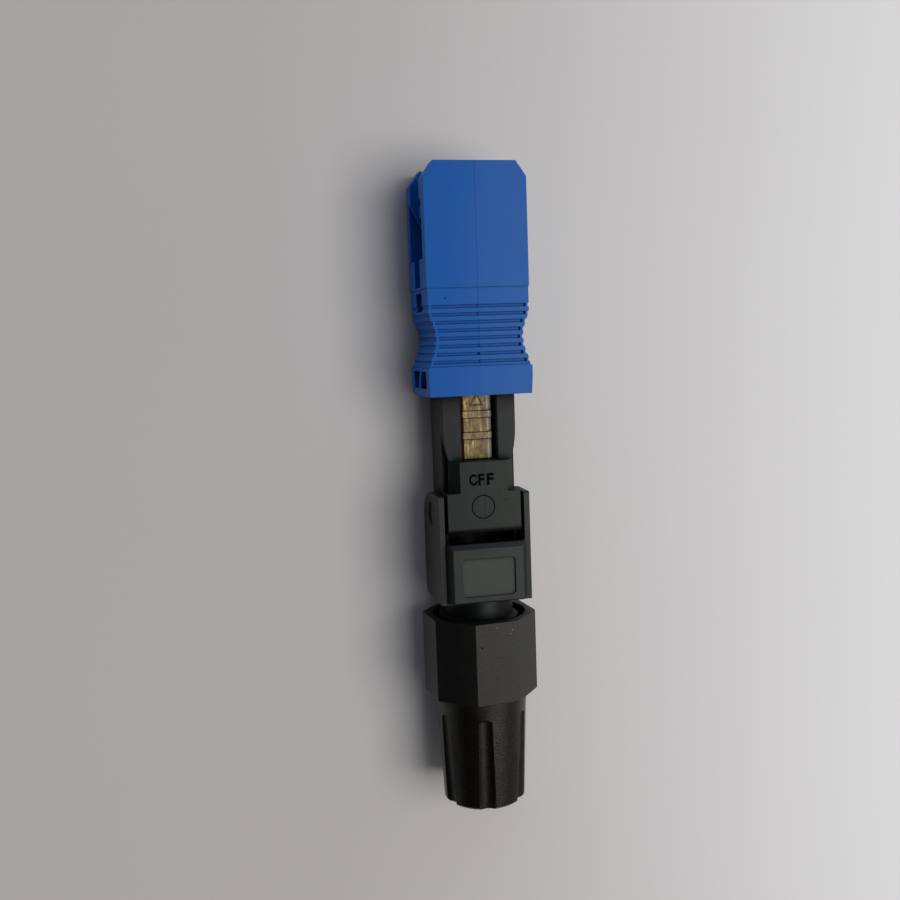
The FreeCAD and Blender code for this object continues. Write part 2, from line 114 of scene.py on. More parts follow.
def blendColours(tree, mask, first, second, mode="MIX"):
    node = addNode(tree, "ShaderNodeMix", data_type="RGBA", blend_type=mode)
    feed(tree, mask, node.inputs["Factor"])
    feed(tree, first, [s for s in node.inputs if s.name == "A" and s.type == "RGBA"][0])
    feed(tree, second, [s for s in node.inputs if s.name == "B" and s.type == "RGBA"][0])
    return [s for s in node.outputs if s.type == "RGBA"][0]


def newGroup(name, inputs, outputs):
    group = bpy.data.node_groups.new(name, "ShaderNodeTree")
    for label, value in inputs.items():
        socket = group.interface.new_socket(label, in_out="INPUT", socket_type="NodeSocketFloat")
        socket.default_value = value
    for label, kind in outputs.items():
        group.interface.new_socket(label, in_out="OUTPUT", socket_type=kind)
    return group, group.nodes.new("NodeGroupInput").outputs, group.nodes.new("NodeGroupOutput").inputs


def useGroup(tree, group, **values):
    node = addNode(tree, "ShaderNodeGroup")
    node.node_tree = group
    for label, value in values.items():
        feed(tree, value, node.inputs[label.replace("_", " ")])
    return node.outputs


def millimetres(tree):
    coordinates = addNode(tree, "ShaderNodeTexCoord")
    mapping = addNode(tree, "ShaderNodeMapping")
    mapping.inputs["Scale"].default_value = (1 / mm, 1 / mm, 1 / mm)
    tree.links.new(coordinates.outputs["Object"], mapping.inputs["Vector"])
    return mapping.outputs["Vector"]


def noise(tree, place, scale, detail, roughness):
    node = addNode(tree, "ShaderNodeTexNoise")
    feed(tree, place, node.inputs["Vector"])
    feed(tree, scale, node.inputs["Scale"])
    node.inputs["Detail"].default_value = detail
    node.inputs["Roughness"].default_value = roughness
    return node.outputs["Fac"]


def noiseMask(tree, place, look):
    # 0 to 1 over the middle span of the noise
    cloud = noise(tree, place, look["perMm"], look["detail"], look["roughness"])
    return stretch(tree, cloud, *look["span"])


grainLook = {
    "fine": {"perMm": 9.0, "detail": 4.0, "roughness": 0.7, "span": (0.3, 0.7)},
    "slow": {"perMm": 0.5, "detail": 3.0, "roughness": 0.5, "span": (0.32, 0.68)},
}


def makeGrainGroup(look):
    # fine moulded grain and a slow mottle, both 0 to 1
    starts = {"Grain Per Mm": look["fine"]["perMm"], "Mottle Per Mm": look["slow"]["perMm"]}
    group, given, out = newGroup("mouldedGrain", starts,
                                 {"Grain": "NodeSocketFloat", "Mottle": "NodeSocketFloat"})
    place = millimetres(group)
    fine = noiseMask(group, place, dict(look["fine"], perMm=given["Grain Per Mm"]))
    slow = noiseMask(group, place, dict(look["slow"], perMm=given["Mottle Per Mm"]))
    feed(group, fine, out["Grain"])
    feed(group, slow, out["Mottle"])
    return group


edgeLook = {"radiusMm": 0.08, "sharpness": 0.12, "samples": 6}


def makeEdgeGroup(look):
    # rounds the shading at edges and says where the edges are
    starts = {"Radius": look["radiusMm"] * mm, "Sharpness": look["sharpness"]}
    group, given, out = newGroup("softEdge", starts,
                                 {"Normal": "NodeSocketVector", "Edge": "NodeSocketFloat"})
    bevel = addNode(group, "ShaderNodeBevel", samples=look["samples"])
    feed(group, given["Radius"], bevel.inputs["Radius"])
    geometry = addNode(group, "ShaderNodeNewGeometry")
    dot = addNode(group, "ShaderNodeVectorMath", operation="DOT_PRODUCT")
    group.links.new(bevel.outputs["Normal"], dot.inputs[0])
    group.links.new(geometry.outputs["Normal"], dot.inputs[1])
    away = maths(group, "SUBTRACT", 1.0, dot.outputs["Value"])
    feed(group, bevel.outputs["Normal"], out["Normal"])
    feed(group, maths(group, "DIVIDE", away, given["Sharpness"]), out["Edge"])
    return group


creviceLook = {"reachMm": 2.5, "depth": 1.0, "samples": 8}


def makeCreviceGroup(look):
    # 1 where the surface is open to the room, towards 0 deep in a gap
    starts = {"Reach": look["reachMm"] * mm, "Depth": look["depth"]}
    group, given, out = newGroup("creviceShade", starts, {"Open": "NodeSocketFloat"})
    shade = addNode(group, "ShaderNodeAmbientOcclusion", samples=look["samples"])
    feed(group, given["Reach"], shade.inputs["Distance"])
    feed(group, maths(group, "POWER", shade.outputs["AO"], given["Depth"]), out["Open"])
    return group


spotLook = {"sizeMm": 0.1, "rim": (0.7, 1.1)}


def makeSpotGroup(look):
    # one round mark at a place on the upper side
    group, given, out = newGroup("singleSpot", {"At X": 0.0, "At Y": 0.0, "Size": look["sizeMm"]},
                                 {"Spot": "NodeSocketFloat"})
    split = addNode(group, "ShaderNodeSeparateXYZ")
    feed(group, millimetres(group), split.inputs[0])
    acrossX = maths(group, "SUBTRACT", split.outputs["X"], given["At X"])
    alongY = maths(group, "SUBTRACT", split.outputs["Y"], given["At Y"])
    away = maths(group, "SQRT", maths(group, "ADD", maths(group, "MULTIPLY", acrossX, acrossX),
                                      maths(group, "MULTIPLY", alongY, alongY)))
    disc = stretch(group, maths(group, "DIVIDE", away, given["Size"]), *look["rim"], 1.0, 0.0)
    above = maths(group, "GREATER_THAN", split.outputs["Z"], 0.0)
    feed(group, maths(group, "MULTIPLY", disc, above), out["Spot"])
    return group


def makeSpeckGroup():
    # sparse specks of lint and dust
    group, given, out = newGroup("dustSpecks", {"Per Mm": 0.6, "Size": 0.05, "Share": 0.2},
                                 {"Speck": "NodeSocketFloat"})
    cells = addNode(group, "ShaderNodeTexVoronoi")
    feed(group, millimetres(group), cells.inputs["Vector"])
    feed(group, given["Per Mm"], cells.inputs["Scale"])
    split = addNode(group, "ShaderNodeSeparateColor")
    group.links.new(cells.outputs["Color"], split.inputs["Color"])
    chosen = maths(group, "LESS_THAN", split.outputs[0], given["Share"])
    reach = maths(group, "MULTIPLY", given["Size"], split.outputs[1])
    near = maths(group, "LESS_THAN", cells.outputs["Distance"], reach)
    feed(group, maths(group, "MULTIPLY", chosen, near), out["Speck"])
    return group


scuffLook = {
    "turn": (0.3, 0.2, 0.55), "scale": (6, 0.35, 2), "detail": 5.0, "roughness": 0.6,
    "level": 0.74, "levelDrop": 0.2, "softness": 0.06,
}


def makeScuffGroup(look):
    # fine handling scratches, stretched along one direction
    group, given, out = newGroup("handlingScuffs", {"Per Mm": 1.0, "Amount": 0.3},
                                 {"Scuff": "NodeSocketFloat"})
    place = addNode(group, "ShaderNodeMapping")
    place.inputs["Rotation"].default_value = look["turn"]
    place.inputs["Scale"].default_value = look["scale"]
    feed(group, millimetres(group), place.inputs["Vector"])
    lines = noise(group, place.outputs["Vector"], given["Per Mm"], look["detail"], look["roughness"])
    drop = maths(group, "MULTIPLY", given["Amount"], look["levelDrop"])
    level = maths(group, "SUBTRACT", look["level"], drop)
    feed(group, stretch(group, lines, level, maths(group, "ADD", level, look["softness"])), out["Scuff"])
    return group


def makeSeamGroup():
    # thin parting line along the axis, at a chosen X
    group, given, out = newGroup("partingLine", {"At X": 0.0, "Half Width": 0.04},
                                 {"Line": "NodeSocketFloat"})
    split = addNode(group, "ShaderNodeSeparateXYZ")
    feed(group, millimetres(group), split.inputs[0])
    away = maths(group, "ABSOLUTE", maths(group, "SUBTRACT", split.outputs["X"], given["At X"]))
    feed(group, stretch(group, away, 0.0, given["Half Width"], 1.0, 0.0), out["Line"])
    return group


grainGroup = makeGrainGroup(grainLook)
edgeGroup = makeEdgeGroup(edgeLook)
speckGroup = makeSpeckGroup()
scuffGroup = makeScuffGroup(scuffLook)
creviceGroup = makeCreviceGroup(creviceLook)
spotGroup = makeSpotGroup(spotLook)
seamGroup = makeSeamGroup()


def newMaterial(name):
    material = bpy.data.materials.new(name)
    material.use_nodes = True
    tree = material.node_tree
    tree.nodes.clear()
    shader = addNode(tree, "ShaderNodeBsdfPrincipled")
    output = addNode(tree, "ShaderNodeOutputMaterial")
    tree.links.new(shader.outputs["BSDF"], output.inputs["Surface"])
    return material, tree, shader


def bump(tree, height, strength, depthMm, normal=None):
    node = addNode(tree, "ShaderNodeBump")
    node.inputs["Strength"].default_value = strength
    node.inputs["Distance"].default_value = depthMm * mm
    feed(tree, height, node.inputs["Height"])
    if normal is not None:
        feed(tree, normal, node.inputs["Normal"])
    return node.outputs["Normal"]


def placeParts(tree):
    split = addNode(tree, "ShaderNodeSeparateXYZ")
    feed(tree, millimetres(tree), split.inputs[0])
    return split.outputs


def between(tree, value, low, high, soft=0.05):
    inside = stretch(tree, value, low - soft, low + soft)
    return maths(tree, "MULTIPLY", inside, stretch(tree, value, high - soft, high + soft, 1.0, 0.0))


def facingLeft(tree, turn):
    # 1 on faces turned to the left, 0 on faces turned up
    geometry = addNode(tree, "ShaderNodeNewGeometry")
    split = addNode(tree, "ShaderNodeSeparateXYZ")
    tree.links.new(geometry.outputs["Normal"], split.inputs[0])
    return stretch(tree, split.outputs["X"], *turn, 1.0, 0.0)


plasticMix = {
    "specksPerMm": 0.8, "speckSize": 0.06, "speckShare": 0.7, "scuffsPerMm": 0.8, "scuffShare": 0.3,
    "spotShare": 0.85, "edgeSharpness": 0.12, "edgeEvenness": 0.3, "seamHalfWidthMm": 0.06, "seamDull": 0.6,
    "seamGroove": 1.2, "seamStepMm": (-0.06, 0.02), "paintedLightDriftMm": (-5.0, 5.0), "roughSpan": (-0.02, 0.03),
    "scuffRough": 0.1, "dullRough": 0.95, "ior": 1.46, "leftTurn": (-0.85, -0.4),
}


def mouldedPlastic(name, look):
    # painted light: a tone that gets paler towards the right, where the lamp stands; with random mottle, edge
    # wear mixed with a painted edge highlight, painted shade in gaps, specks, spots and a parting line
    mix = plasticMix
    material, tree, shader = newMaterial(name)
    grain = useGroup(tree, grainGroup, Grain_Per_Mm=look["grainPerMm"], Mottle_Per_Mm=look["mottlePerMm"])
    edge = useGroup(tree, edgeGroup, Radius=look["edgeMm"] * mm, Sharpness=mix["edgeSharpness"])
    specks = useGroup(tree, speckGroup, Per_Mm=mix["specksPerMm"], Size=mix["speckSize"],
                      Share=look["specks"])
    scuff = useGroup(tree, scuffGroup, Per_Mm=mix["scuffsPerMm"], Amount=look["scuffs"])["Scuff"]
    openness = useGroup(tree, creviceGroup, Reach=look["reachMm"] * mm, Depth=look["depth"])["Open"]
    place = placeParts(tree)
    seam = useGroup(tree, seamGroup, At_X=look["seamX"], Half_Width=mix["seamHalfWidthMm"])["Line"]
    front, rear = look["seamEndsMm"]
    seam = maths(tree, "MULTIPLY", seam, between(tree, place["Y"], rear, front))
    seam = maths(tree, "MULTIPLY", seam, look["seam"])
    # painted light: the colour blends from colour to rightColour across X, paler on the side towards the lamp
    side = stretch(tree, place["X"], *mix["paintedLightDriftMm"])
    step = stretch(tree, place["X"], *mix["seamStepMm"], -look["seamStep"], look["seamStep"])
    mottle = maths(tree, "MULTIPLY", maths(tree, "SUBTRACT", grain["Mottle"], 0.5), look["mottle"])
    side = maths(tree, "ADD", maths(tree, "ADD", side, step), mottle)
    colour = blendColours(tree, side, look["colour"], look["rightColour"])
    # paler edges: partly real wear, partly a painted highlight along the edges
    worn = maths(tree, "MULTIPLY", edge["Edge"], look["edgeWearAndHighlight"])
    worn = maths(tree, "MULTIPLY", worn, maths(tree, "ADD", grain["Grain"], mix["edgeEvenness"]))
    colour = blendColours(tree, maths(tree, "MINIMUM", worn, 1.0), colour, look["wornEdgeAndHighlightColour"])
    scuffTint = maths(tree, "MULTIPLY", scuff, mix["scuffShare"])
    colour = blendColours(tree, scuffTint, colour, look["wornEdgeAndHighlightColour"])
    colour = blendColours(tree, seam, colour, look["seamColour"])
    speckTint = maths(tree, "MULTIPLY", specks["Speck"], mix["speckShare"])
    colour = blendColours(tree, speckTint, colour, look["speckColour"])
    # painted shade: the colour goes to the dark gap colour where the surface is shut in by gaps and recesses
    colour = blendColours(tree, openness, look["paintedGapShadeColour"], colour)
    shine = maths(tree, "MULTIPLY", openness, allBut(tree, seam, mix["seamDull"]))
    for x, y, size, spotColour in look["spots"]:
        spot = useGroup(tree, spotGroup, At_X=x, At_Y=y, Size=size)["Spot"]
        colour = blendColours(tree, maths(tree, "MULTIPLY", spot, mix["spotShare"]), colour, spotColour)
        shine = maths(tree, "MULTIPLY", shine, allBut(tree, spot, mix["spotShare"]))
    roughLow, roughHigh = [look["roughness"] + change for change in mix["roughSpan"]]
    rough = stretch(tree, grain["Grain"], 0.0, 1.0, roughLow, roughHigh)
    rough = maths(tree, "ADD", rough, maths(tree, "MULTIPLY", scuff, mix["scuffRough"]))
    height = maths(tree, "SUBTRACT", grain["Grain"], maths(tree, "MULTIPLY", seam, mix["seamGroove"]))
    normal = bump(tree, height, look["grainStrength"], look["grainDepthMm"], edge["Normal"])
    feed(tree, normal, shader.inputs["Normal"])
    shader.inputs["IOR"].default_value = mix["ior"]
    shader.inputs["Specular IOR Level"].default_value = look["level"]
    shader.inputs["Specular Tint"].default_value = look["sheenTint"]
    return material, tree, shader, colour, rough, shine


def closePlastic(tree, shader, colour, rough, shine):
    # gaps, seams and spots are dull
    feed(tree, colour, shader.inputs["Base Color"])
    feed(tree, stretch(tree, shine, 0.0, 1.0, plasticMix["dullRough"], rough), shader.inputs["Roughness"])


darkSpot = paint(9, 10, 12)
paleSpot = paint(150, 150, 146)
# in these plastics rightColour is painted light: the side towards the lamp is paler
bluePlastic = {
    "colour": paint(14, 83, 160), "rightColour": paint(42, 93, 164), "wornEdgeAndHighlightColour": paint(70, 132, 205),
    "seamColour": paint(8, 50, 124), "speckColour": paint(10, 40, 92), "paintedGapShadeColour": paint(3, 34, 92),
    "grainPerMm": 14.0, "mottlePerMm": 0.35, "grainStrength": 0.5, "grainDepthMm": 0.006,
    "edgeMm": 0.14, "edgeWearAndHighlight": 0.25, "roughness": 0.43, "specks": 0.02, "scuffs": 0.0,
    "seam": 0.5, "seamX": -0.03, "reachMm": 0.18, "depth": 1.5, "level": 0.1,
    "seamStep": 0.07, "mottle": 0.12,
    # leftColour is painted light, bounced from the floor onto faces turned left
    "seamEndsMm": (1.0, -17.2), "sheenTint": (1.0, 1.0, 1.0, 1), "leftColour": paint(28, 104, 192),
    "spots": [(-2.91, -11.38, 0.085, paint(8, 34, 80)), (-0.1, -12.1, 0.075, paint(6, 24, 66)),
              (-0.08, -12.77, 0.095, paint(6, 24, 66)), (-0.05, -15.46, 0.08, paint(6, 24, 66)),
              (-0.06, -16.13, 0.14, paint(4, 16, 46)), (-0.02, -16.8, 0.08, paint(6, 24, 66))],
}
framePlastic = dict(bluePlastic, seam=0.0, seamStep=0.0, spots=[], rightColour=paint(30, 84, 156),
                    leftColour=paint(16, 82, 166))
blackPlastic = {
    "colour": paint(4, 6, 7), "rightColour": paint(29, 31, 29), "wornEdgeAndHighlightColour": paint(58, 62, 62),
    "seamColour": paint(6, 7, 7), "speckColour": paint(110, 110, 106), "paintedGapShadeColour": paint(1, 1, 2),
    "grainPerMm": 11.0, "mottlePerMm": 0.5, "grainStrength": 0.6, "grainDepthMm": 0.006,
    "edgeMm": 0.07, "edgeWearAndHighlight": 0.3, "roughness": 0.44, "specks": 0.03, "scuffs": 0.15,
    "seam": 0.0, "seamX": 0.0, "seamEndsMm": (0.0, 0.0), "seamStep": 0.0,
    "reachMm": 2.0, "depth": 1.2, "level": 0.21, "mottle": 0.2, "sheenTint": (0.94, 1.0, 0.95, 1),
    "spots": [],
}
bodyPlastic = dict(blackPlastic, seam=0.55, seamX=0.03, seamEndsMm=(-25.3, -30.9),
                   stubYMm=(-38.0, -37.6), stubSmoother=0.24,
                   spots=[(1.9, -28.9, 0.09, darkSpot), (1.2, -29.3, 0.05, darkSpot),
                          (-3.33, -24.6, 0.05, paleSpot)])
sliderPlastic = dict(blackPlastic, edgeMm=0.1, edgeWearAndHighlight=0.55, level=0.28,
                     panelColour=paint(42, 46, 42), panelXMm=(-2.4, 2.4), panelYMm=(-37.15, -33.8),
                     panelAboveMm=4.0)
nutPlastic = dict(blackPlastic, colour=paint(2, 2, 1), rightColour=paint(26, 27, 24), edgeMm=0.06,
                  grainPerMm=8.0, grainStrength=0.9, grainDepthMm=0.01, level=0.36, edgeWearAndHighlight=0.2,
                  sheenTint=(1.0, 0.98, 0.92, 1),
                  tailColour=paint(7, 5, 3), tailYMm=(-46.72, -46.6), tailSmoother=0.18,
                  spots=[(-0.98, -41.53, 0.12, darkSpot), (0.42, -39.9, 0.04, paleSpot),
                         (1.67, -40.55, 0.055, paleSpot), (1.86, -40.21, 0.045, paleSpot),
                         (0.9, -42.6, 0.06, darkSpot)])


def finishBlue(name, look):
    # faces turned to the left are a little paler: painted light, standing for light bounced up from the floor
    material, tree, shader, colour, rough, shine = mouldedPlastic(name, look)
    left = facingLeft(tree, plasticMix["leftTurn"])
    colour = blendColours(tree, left, colour, look["leftColour"], "LIGHTEN")
    closePlastic(tree, shader, colour, rough, shine)
    return material


def finishBody(name, look):
    # the round stub behind the slider is smoother
    material, tree, shader, colour, rough, shine = mouldedPlastic(name, look)
    stub = stretch(tree, placeParts(tree)["Y"], *look["stubYMm"], 1.0, 0.0)
    rough = maths(tree, "SUBTRACT", rough, maths(tree, "MULTIPLY", stub, look["stubSmoother"]))
    closePlastic(tree, shader, colour, rough, shine)
    return material


def finishSlider(name, look):
    # the sunk thumb panel is a little brighter than the rest
    material, tree, shader, colour, rough, shine = mouldedPlastic(name, look)
    place = placeParts(tree)
    panelX = between(tree, place["X"], *look["panelXMm"])
    panelY = between(tree, place["Y"], *look["panelYMm"])
    above = maths(tree, "GREATER_THAN", place["Z"], look["panelAboveMm"])
    panel = maths(tree, "MULTIPLY", maths(tree, "MULTIPLY", panelX, panelY), above)
    colour = blendColours(tree, maths(tree, "MULTIPLY", panel, shine), colour, look["panelColour"])
    closePlastic(tree, shader, colour, rough, shine)
    return material


def finishNut(name, look):
    # satin eight-sided collar, smoother fluted tail
    material, tree, shader, colour, rough, shine = mouldedPlastic(name, look)
    tail = stretch(tree, placeParts(tree)["Y"], *look["tailYMm"], 1.0, 0.0)
    colour = blendColours(tree, tail, colour, look["tailColour"])
    rough = maths(tree, "SUBTRACT", rough, maths(tree, "MULTIPLY", tail, look["tailSmoother"]))
    closePlastic(tree, shader, colour, rough, shine)
    return material


brassLook = {
    "colour": paint(108, 92, 50), "brightColour": paint(186, 158, 84), "darkColour": paint(66, 44, 20),
    "creviceDarkColour": paint(22, 12, 4), "paintedRightHighlightColour": paint(228, 220, 204), "paintedLeftShadeColour": paint(84, 38, 26),
    "roughness": 0.5, "roughSpan": (-0.08, 0.1), "metal": 0.3,
    "drawnScale": (1.6, 0.22, 1.6), "brightShare": 0.8, "patchShare": 0.7, "lineShare": 0.3,
    "lines": {"perMm": 9.0, "detail": 4.0, "roughness": 0.65, "span": (0.3, 0.7)},
    "patches": {"perMm": 1.3, "detail": 5.0, "roughness": 0.7, "span": (0.45, 0.6)},
    "bright": {"perMm": 2.4, "detail": 3.0, "roughness": 0.6, "span": (0.48, 0.68)},
    "sideTurn": (0.3, 0.6), "wallTurn": (-0.3, -0.6), "reachMm": 0.3, "depth": 4.0,
    "edgeMm": 0.03, "edgeSharpness": 0.15, "lineStrength": 0.4, "lineDepthMm": 0.006,
}


def finishBrass(name, look):
    # drawn lines along the barrel, warm tarnish in patches, darker in the narrow gaps beside the clips, a
    # painted highlight on faces turned right and painted warm shade on faces turned left
    material, tree, shader = newMaterial(name)
    place = millimetres(tree)
    drawn = addNode(tree, "ShaderNodeMapping")
    drawn.inputs["Scale"].default_value = look["drawnScale"]
    feed(tree, place, drawn.inputs["Vector"])
    along = drawn.outputs["Vector"]
    lines = noiseMask(tree, along, look["lines"])
    patches = noiseMask(tree, place, look["patches"])
    bright = noiseMask(tree, along, look["bright"])
    edge = useGroup(tree, edgeGroup, Radius=look["edgeMm"] * mm, Sharpness=look["edgeSharpness"])
    openness = useGroup(tree, creviceGroup, Reach=look["reachMm"] * mm, Depth=look["depth"])["Open"]
    geometry = addNode(tree, "ShaderNodeNewGeometry")
    facing = addNode(tree, "ShaderNodeSeparateXYZ")
    tree.links.new(geometry.outputs["Normal"], facing.inputs[0])
    # painted highlight on faces turned right, towards the lamp
    paintedHighlightFaces = stretch(tree, facing.outputs["X"], *look["sideTurn"])
    # painted warm shade on faces turned left, away from the lamp
    paintedShadeFaces = stretch(tree, facing.outputs["X"], *look["wallTurn"])
    brightTint = maths(tree, "MULTIPLY", bright, look["brightShare"])
    patchTint = maths(tree, "MULTIPLY", patches, look["patchShare"])
    lineTint = maths(tree, "MULTIPLY", lines, look["lineShare"])
    colour = blendColours(tree, brightTint, look["colour"], look["brightColour"])
    colour = blendColours(tree, patchTint, colour, look["darkColour"])
    colour = blendColours(tree, paintedHighlightFaces, colour, look["paintedRightHighlightColour"])
    colour = blendColours(tree, paintedShadeFaces, colour, look["paintedLeftShadeColour"])
    colour = blendColours(tree, lineTint, colour, look["darkColour"])
    # darker where the surface is shut in, beside the clips
    colour = blendColours(tree, openness, look["creviceDarkColour"], colour)
    feed(tree, colour, shader.inputs["Base Color"])
    shader.inputs["Metallic"].default_value = look["metal"]
    roughLow, roughHigh = [look["roughness"] + change for change in look["roughSpan"]]
    feed(tree, stretch(tree, lines, 0.0, 1.0, roughLow, roughHigh), shader.inputs["Roughness"])
    normal = bump(tree, lines, look["lineStrength"], look["lineDepthMm"], edge["Normal"])
    feed(tree, normal, shader.inputs["Normal"])
    return material


def mottledFinish(name, look):
    # two close tones and a little grain, for ceramic, steel and glass
    material, tree, shader = newMaterial(name)
    grain = useGroup(tree, grainGroup, Grain_Per_Mm=look["grainPerMm"], Mottle_Per_Mm=look["mottlePerMm"])
    colour = blendColours(tree, grain["Mottle"], look["colour"], look["mottleColour"])
    feed(tree, colour, shader.inputs["Base Color"])
    rough = stretch(tree, grain["Grain"], 0, 1, look["roughness"], look["roughness"] + look["roughRise"])
    feed(tree, rough, shader.inputs["Roughness"])
    return material, tree, shader, grain


ceramicLook = {"colour": paint(236, 234, 226), "mottleColour": paint(228, 226, 218), "roughness": 0.16,
               "roughRise": 0.05, "grainPerMm": 22.0, "mottlePerMm": 0.9, "edgeMm": 0.04,
               "edgeSharpness": 0.12, "grainStrength": 0.1, "grainDepthMm": 0.002, "ior": 2.1}


def finishCeramic(name, look):
    material, tree, shader, grain = mottledFinish(name, look)
    edge = useGroup(tree, edgeGroup, Radius=look["edgeMm"] * mm, Sharpness=look["edgeSharpness"])
    normal = bump(tree, grain["Grain"], look["grainStrength"], look["grainDepthMm"], edge["Normal"])
    feed(tree, normal, shader.inputs["Normal"])
    shader.inputs["IOR"].default_value = look["ior"]
    return material


steelLook = {"colour": paint(178, 176, 172), "mottleColour": paint(122, 120, 116), "roughness": 0.3,
             "roughRise": 0.12, "grainPerMm": 14.0, "mottlePerMm": 1.5, "grainStrength": 0.15,
             "grainDepthMm": 0.003, "metal": 1.0}


def finishSteel(name, look):
    material, tree, shader, grain = mottledFinish(name, look)
    shader.inputs["Metallic"].default_value = look["metal"]
    normal = bump(tree, grain["Grain"], look["grainStrength"], look["grainDepthMm"])
    feed(tree, normal, shader.inputs["Normal"])
    return material


glassLook = {"colour": paint(226, 236, 240), "mottleColour": paint(210, 226, 232), "roughness": 0.05,
             "roughRise": 0.03, "grainPerMm": 30.0, "mottlePerMm": 2.0, "ior": 1.47}


def finishGlass(name, look):
    material, _, shader, _ = mottledFinish(name, look)
    shader.inputs["IOR"].default_value = look["ior"]
    return material


inkLook = {"colour": paint(3, 3, 3), "wornColour": paint(50, 52, 50), "roughness": 0.6,
           "wornRoughness": 0.5, "level": 0.02, "wornPlace": (-0.64, -26.95, 0.2), "wornEvenness": 0.7,
           "grainPerMm": 14.0, "mottlePerMm": 3.0, "grainStrength": 0.28, "grainDepthMm": 0.005}


def finishInk(name, look):
    # dull black marks, rubbed away in one place
    material, tree, shader = newMaterial(name)
    x, y, size = look["wornPlace"]
    spot = useGroup(tree, spotGroup, At_X=x, At_Y=y, Size=size)["Spot"]
    grain = useGroup(tree, grainGroup, Grain_Per_Mm=look["grainPerMm"], Mottle_Per_Mm=look["mottlePerMm"])
    worn = maths(tree, "MULTIPLY", spot, maths(tree, "ADD", grain["Mottle"], look["wornEvenness"]))
    worn = maths(tree, "MINIMUM", worn, 1.0)
    feed(tree, blendColours(tree, worn, look["colour"], look["wornColour"]), shader.inputs["Base Color"])
    rough = stretch(tree, worn, 0.0, 1.0, look["roughness"], look["wornRoughness"])
    feed(tree, rough, shader.inputs["Roughness"])
    shader.inputs["Specular IOR Level"].default_value = look["level"]
    normal = bump(tree, grain["Grain"], look["grainStrength"], look["grainDepthMm"])
    feed(tree, normal, shader.inputs["Normal"])
    return material


finishes = {
    "sleeve_plastic": finishBlue("bluePlastic", bluePlastic),
    "frame_plastic": finishBlue("framePlastic", framePlastic),
    "body_plastic": finishBody("bodyPlastic", bodyPlastic),
    "slider_plastic": finishSlider("sliderPlastic", sliderPlastic),
    "nut_plastic": finishNut("nutPlastic", nutPlastic),
    "brass": finishBrass("drawnBrass", brassLook),
    "zirconia": finishCeramic("zirconiaCeramic", ceramicLook),
    "spring_steel": finishSteel("springSteel", steelLook),
    "glass_fibre": finishGlass("glassFibre", glassLook),
}
markInk = finishInk("markInk", inkLook)

slotOfNode = {part["node"]: part["material_slot"] for part in frame["record"]["subparts"]}
for nodeName, nodeObject in frame["nodes"].items():
    for slot in nodeObject.material_slots:
        slot.material = finishes[slotOfNode[nodeName]]
print("finishes assigned")


def addPiece(name, mesh, slotName, body, material=None):
    piece = bpy.data.objects.new(name, mesh)
    bpy.context.collection.objects.link(piece)
    mesh.materials.clear()
    mesh.materials.append(material or finishes[slotName])
    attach(piece, body)


def meshFrom(build, name):
    bmesh.ops.recalc_face_normals(build, faces=build.faces)
    mesh = bpy.data.meshes.new(name)
    build.to_mesh(mesh)
    build.free()
    return mesh


wordMark = {
    "centreYMm": -27.0, "heightMm": 1.02, "sinkMm": 0.02, "riseMm": 0.012, "weldMm": 0.00001,
    "grow": 0.035, "halfDepth": 0.5, "curveSteps": 4,
    "letters": [("O", -0.9, 0.8), ("F", -0.2, 0.58), ("F", 0.59, 0.62)],  # letter, centre X, width
}


def letterMesh(letter, look):
    curve = bpy.data.curves.new("offWord", "FONT")
    curve.body = letter
    curve.extrude = look["halfDepth"]
    curve.offset = look["grow"]
    curve.resolution_u = look["curveSteps"]
    holder = bpy.data.objects.new("offWord", curve)
    bpy.context.collection.objects.link(holder)
    bpy.context.view_layer.update()
    mesh = bpy.data.meshes.new_from_object(holder.evaluated_get(bpy.context.evaluated_depsgraph_get()))
    bpy.data.objects.remove(holder)
    return mesh


def makeWordMark(look, topMm):
    # each letter is scaled to its own width and set in its place
    build = bmesh.new()
    thick = look["sinkMm"] + look["riseMm"]
    for letter, centreX, width in look["letters"]:
        before = len(build.verts)
        build.from_mesh(letterMesh(letter, look))
        build.verts.ensure_lookup_table()
        verts = build.verts[before:]
        xs = [vert.co.x for vert in verts]
        ys = [vert.co.y for vert in verts]
        toMiddle = (-(min(xs) + max(xs)) / 2, -(min(ys) + max(ys)) / 2, -look["halfDepth"])
        toSize = (width * mm / (max(xs) - min(xs)), look["heightMm"] * mm / (max(ys) - min(ys)), thick * mm)
        bmesh.ops.translate(build, verts=verts, vec=toMiddle)
        bmesh.ops.scale(build, verts=verts, vec=toSize)
        place = Vector((centreX, look["centreYMm"], topMm + look["riseMm"])) * mm
        bmesh.ops.translate(build, verts=verts, vec=place)
    bmesh.ops.remove_doubles(build, verts=build.verts, dist=look["weldMm"] * mm)
    addPiece("offLetters", meshFrom(build, "offLetters"), "body_plastic", "connector_body", markInk)


# the pad's ring is a fine groove; it is given as a raised ring in dark ink, whose darkness is painted shade
# of the groove
padRingShadeLook = {"centreMm": (-0.1, -29.4), "radiusMm": 1.0, "widthMm": 0.085, "riseMm": 0.012, "steps": 64,
            "weldMm": 0.0001}


